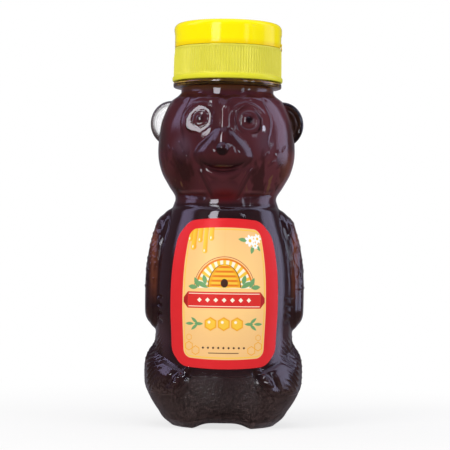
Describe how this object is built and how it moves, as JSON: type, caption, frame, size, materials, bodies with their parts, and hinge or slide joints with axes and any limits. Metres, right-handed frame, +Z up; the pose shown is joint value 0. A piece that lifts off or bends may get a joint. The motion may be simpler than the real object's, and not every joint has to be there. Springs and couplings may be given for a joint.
{
  "type": "squeeze bottle of honey",
  "caption": "Bear-shaped clear squeeze bottle full of dark honey, with a front label and a yellow flip-top screw cap.",
  "frame": {"origin": "on the surface that the bottle stands on, under the middle of its box and on the neck's axis", "axes": "+Z up along the neck's axis, the bear's face and label towards -Y, the lid's hinge at +X"},
  "size_m": [0.06, 0.0521, 0.1516],
  "materials": {
    "clear_plastic": "clear, glossy blow-moulded plastic",
    "dark_honey": "very dark red-brown honey, a liquid",
    "label_film": "printed plastic film, red with a peach panel",
    "seal_foil": "foil on a foam disc, satin",
    "cap_yellow": "lemon yellow, ribbed, satin",
    "lid_yellow": "golden yellow, smooth and glossy"
  },
  "bodies": {
    "bottle": {"bottle": "clear_plastic", "honey": "dark_honey", "front_label": "label_film"},
    "seal": {"seal_liner": "seal_foil"},
    "cap": {"cap_base": "cap_yellow", "living_hinge": "lid_yellow"},
    "lid": {"flip_lid": "lid_yellow"}
  },
  "joints": [
    {"name": "cap_rise", "type": "slide", "parent": "bottle", "child": "seal", "axis": [0, 0, 1], "range_m": [0, 0.01483]},
    {"name": "cap_turn", "type": "hinge", "parent": "seal", "child": "cap", "pos_m": [0, 0, 0.1362], "axis": [0, 0, 1], "range_deg": [0, 1260]},
    {"name": "lid_hinge", "type": "hinge", "parent": "cap", "child": "lid", "pos_m": [0.02045, 0, 0.14315], "axis": [0, 1, 0], "range_deg": [0, 150]}
  ],
  "couplings": [
    {"joint": "cap_rise", "follows": "cap_turn", "m_per_rad": 0.0006737}
  ]
}
